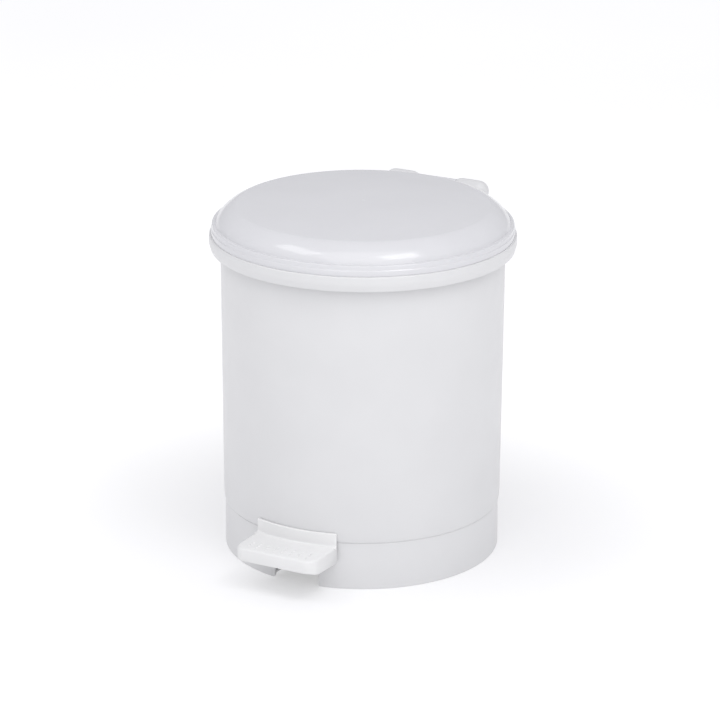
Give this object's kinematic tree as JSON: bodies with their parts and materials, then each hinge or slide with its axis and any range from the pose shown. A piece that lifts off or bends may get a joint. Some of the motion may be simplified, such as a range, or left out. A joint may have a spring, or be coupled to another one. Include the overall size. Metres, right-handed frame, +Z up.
{
  "type": "pedal trash can",
  "caption": "Small round pedal bin with a straight shell on a base ring, a hinged domed lid, a lift-out bucket and a pedal lever that lifts the lid through a push rod.",
  "frame": {"origin": "on the shell's axis, at floor level under the middle of the base ring", "axes": "+Z up along the shell's axis; -Y towards the pedal and +Y towards the lid's hinge; +X to the right of someone who faces the pedal"},
  "size_m": [0.22, 0.2555, 0.2574],
  "materials": {
    "white_plastic": "injection-moulded polypropylene, satin gloss",
    "bucket_plastic": "injection-moulded polypropylene, matte",
    "grip_plastic": "moulded sleeve",
    "nylon": "natural nylon",
    "steel": "zinc-plated steel",
    "steel_wire": "drawn, bright",
    "rubber": "moulded rubber"
  },
  "bodies": {
    "housing": {"base": "white_plastic", "outer_shell": "white_plastic", "hinge_pin_left": "steel", "hinge_pin_right": "steel", "pedal_axle": "steel", "axle_clip_left": "steel", "axle_clip_right": "steel", "rod_guide_upper": "nylon", "rod_guide_lower": "nylon", "foot_front_left": "rubber", "foot_front_right": "rubber", "foot_back_left": "rubber", "foot_back_right": "rubber", "base_screws": "steel"},
    "lid": {"lid": "white_plastic"},
    "pedal": {"pedal_tread": "white_plastic", "pedal_lever": "steel", "tread_screws": "steel", "pivot_bush": "nylon"},
    "rod": {"push_rod": "steel_wire", "rod_shoe": "nylon", "rod_nut_upper": "steel", "rod_nut_lower": "steel"},
    "bucket": {"inner_bucket": "bucket_plastic"},
    "bail": {"bucket_bail": "steel_wire", "bail_grip": "grip_plastic"}
  },
  "joints": [
    {"name": "lid_hinge", "type": "hinge", "parent": "housing", "child": "lid", "pos_m": [0, 0.1155, 0.24], "axis": [-1, 0, 0], "range_deg": [0, 70]},
    {"name": "pedal_press", "type": "hinge", "parent": "housing", "child": "pedal", "pos_m": [0, -0.035, 0.0245], "axis": [1, 0, 0], "range_deg": [0, 11.8]},
    {"name": "rod_lift", "type": "slide", "parent": "housing", "child": "rod", "axis": [0, 0, 1], "range_m": [0, 0.0267]},
    {"name": "bucket_lift", "type": "slide", "parent": "housing", "child": "bucket", "axis": [0, 0, 1], "range_m": [0, 0.003]},
    {"name": "bail_swing", "type": "hinge", "parent": "bucket", "child": "bail", "pos_m": [0, 0, 0.229], "axis": [-1, 0, 0], "range_deg": [0, 10]}
  ],
  "couplings": [
    {"joint": "pedal_press", "follows": "lid_hinge", "ratio": 0.16852},
    {"joint": "rod_lift", "follows": "lid_hinge", "m_per_rad": 0.021849}
  ]
}
